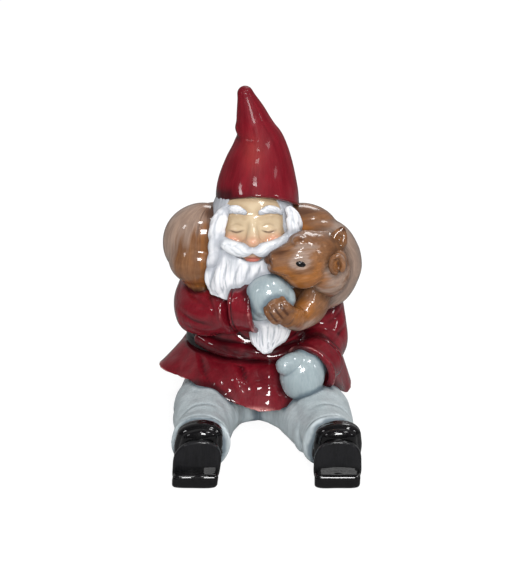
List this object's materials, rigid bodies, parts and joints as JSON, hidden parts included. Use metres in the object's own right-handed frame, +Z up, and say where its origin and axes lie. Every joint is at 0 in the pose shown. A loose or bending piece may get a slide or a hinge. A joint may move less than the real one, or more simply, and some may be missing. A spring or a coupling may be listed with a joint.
{
  "type": "seated gnome figurine",
  "caption": "Glazed ceramic gnome in a tall cap and belted tunic, sitting with legs spread, a squirrel lying round its shoulders.",
  "frame": {"origin": "middle of the seat's flat underside, on the surface the figure sits on", "axes": "+Z up, -Y the way the figure faces and its legs point, +X towards the figure's left hand"},
  "size_m": [0.0803, 0.1059, 0.1294],
  "materials": {
    "burgundy_glaze": "gloss",
    "skin_glaze": "gloss",
    "white_paint": "matte",
    "white_glaze": "satin",
    "mitten_glaze": "gloss",
    "trouser_paint": "satin",
    "black_glaze": "gloss",
    "sole_glaze": "satin",
    "fur_glaze": "gloss"
  },
  "bodies": {
    "root": {"hat": "burgundy_glaze", "tunic_body": "burgundy_glaze", "tunic_skirt": "burgundy_glaze", "right_sleeve": "burgundy_glaze", "left_sleeve": "burgundy_glaze", "right_cuff": "burgundy_glaze", "left_cuff": "burgundy_glaze", "head": "skin_glaze", "hair": "white_paint", "beard": "white_paint", "eyebrow_left": "white_paint", "eyebrow_right": "white_paint", "moustache": "white_glaze", "right_mitten": "mitten_glaze", "left_mitten": "mitten_glaze", "trouser_seat": "trouser_paint", "right_trouser_leg": "trouser_paint", "left_trouser_leg": "trouser_paint", "belt": "black_glaze", "right_boot": "black_glaze", "left_boot": "black_glaze", "right_heel": "black_glaze", "left_heel": "black_glaze", "right_sole": "sole_glaze", "left_sole": "sole_glaze", "squirrel_body": "fur_glaze", "squirrel_head": "fur_glaze", "squirrel_left_ear": "fur_glaze", "squirrel_right_ear": "fur_glaze", "squirrel_tail": "fur_glaze", "squirrel_foreleg": "fur_glaze"}
  },
  "joints": []
}
